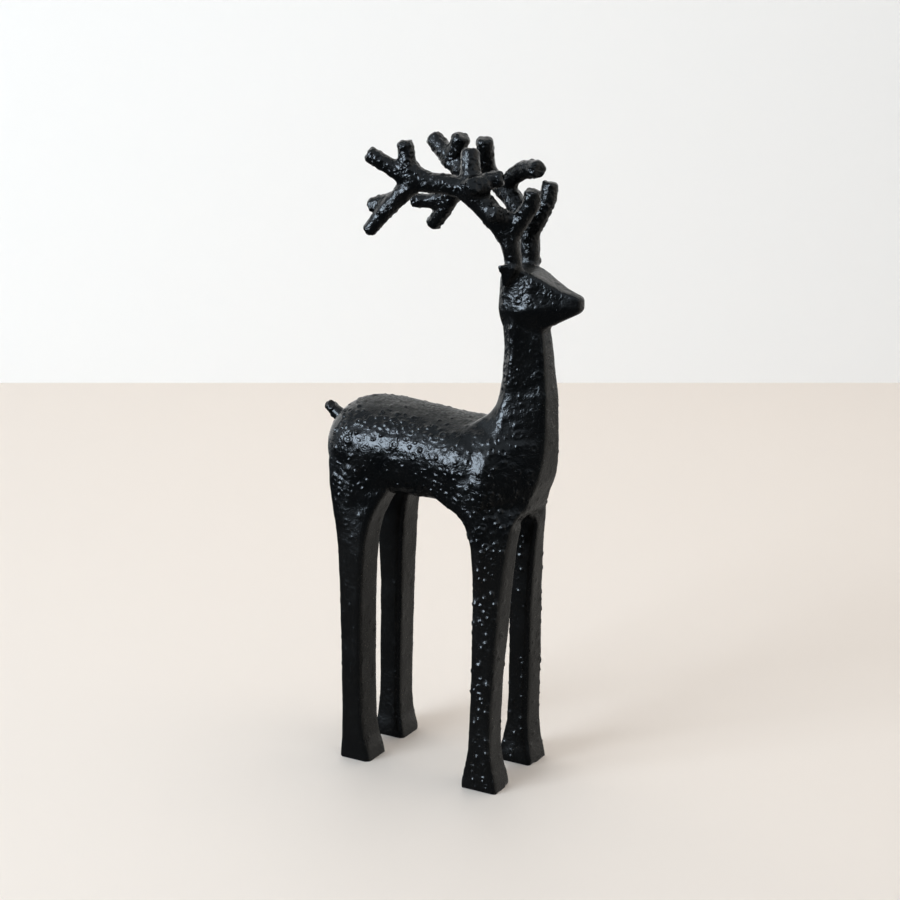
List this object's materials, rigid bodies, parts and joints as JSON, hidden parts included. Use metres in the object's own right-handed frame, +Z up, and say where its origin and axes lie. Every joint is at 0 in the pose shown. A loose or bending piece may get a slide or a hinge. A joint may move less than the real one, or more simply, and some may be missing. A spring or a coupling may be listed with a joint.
{
  "type": "stag statue",
  "caption": "Slender cast stag standing on flared flat feet, with a long neck, a wedge-shaped head and antlers swept back over its body; a table or shelf ornament.",
  "frame": {"origin": "on the ground, under the middle of the statue's box", "axes": "+X towards the stag's nose, +Y towards its left side, +Z up; the soles stand on Z = 0"},
  "size_m": [0.1364, 0.065, 0.3011],
  "materials": {
    "black_iron": "black paint, satin to glossy, over a pitted and slightly wavy cast surface"
  },
  "bodies": {
    "root": {"stag": "black_iron"}
  },
  "joints": []
}
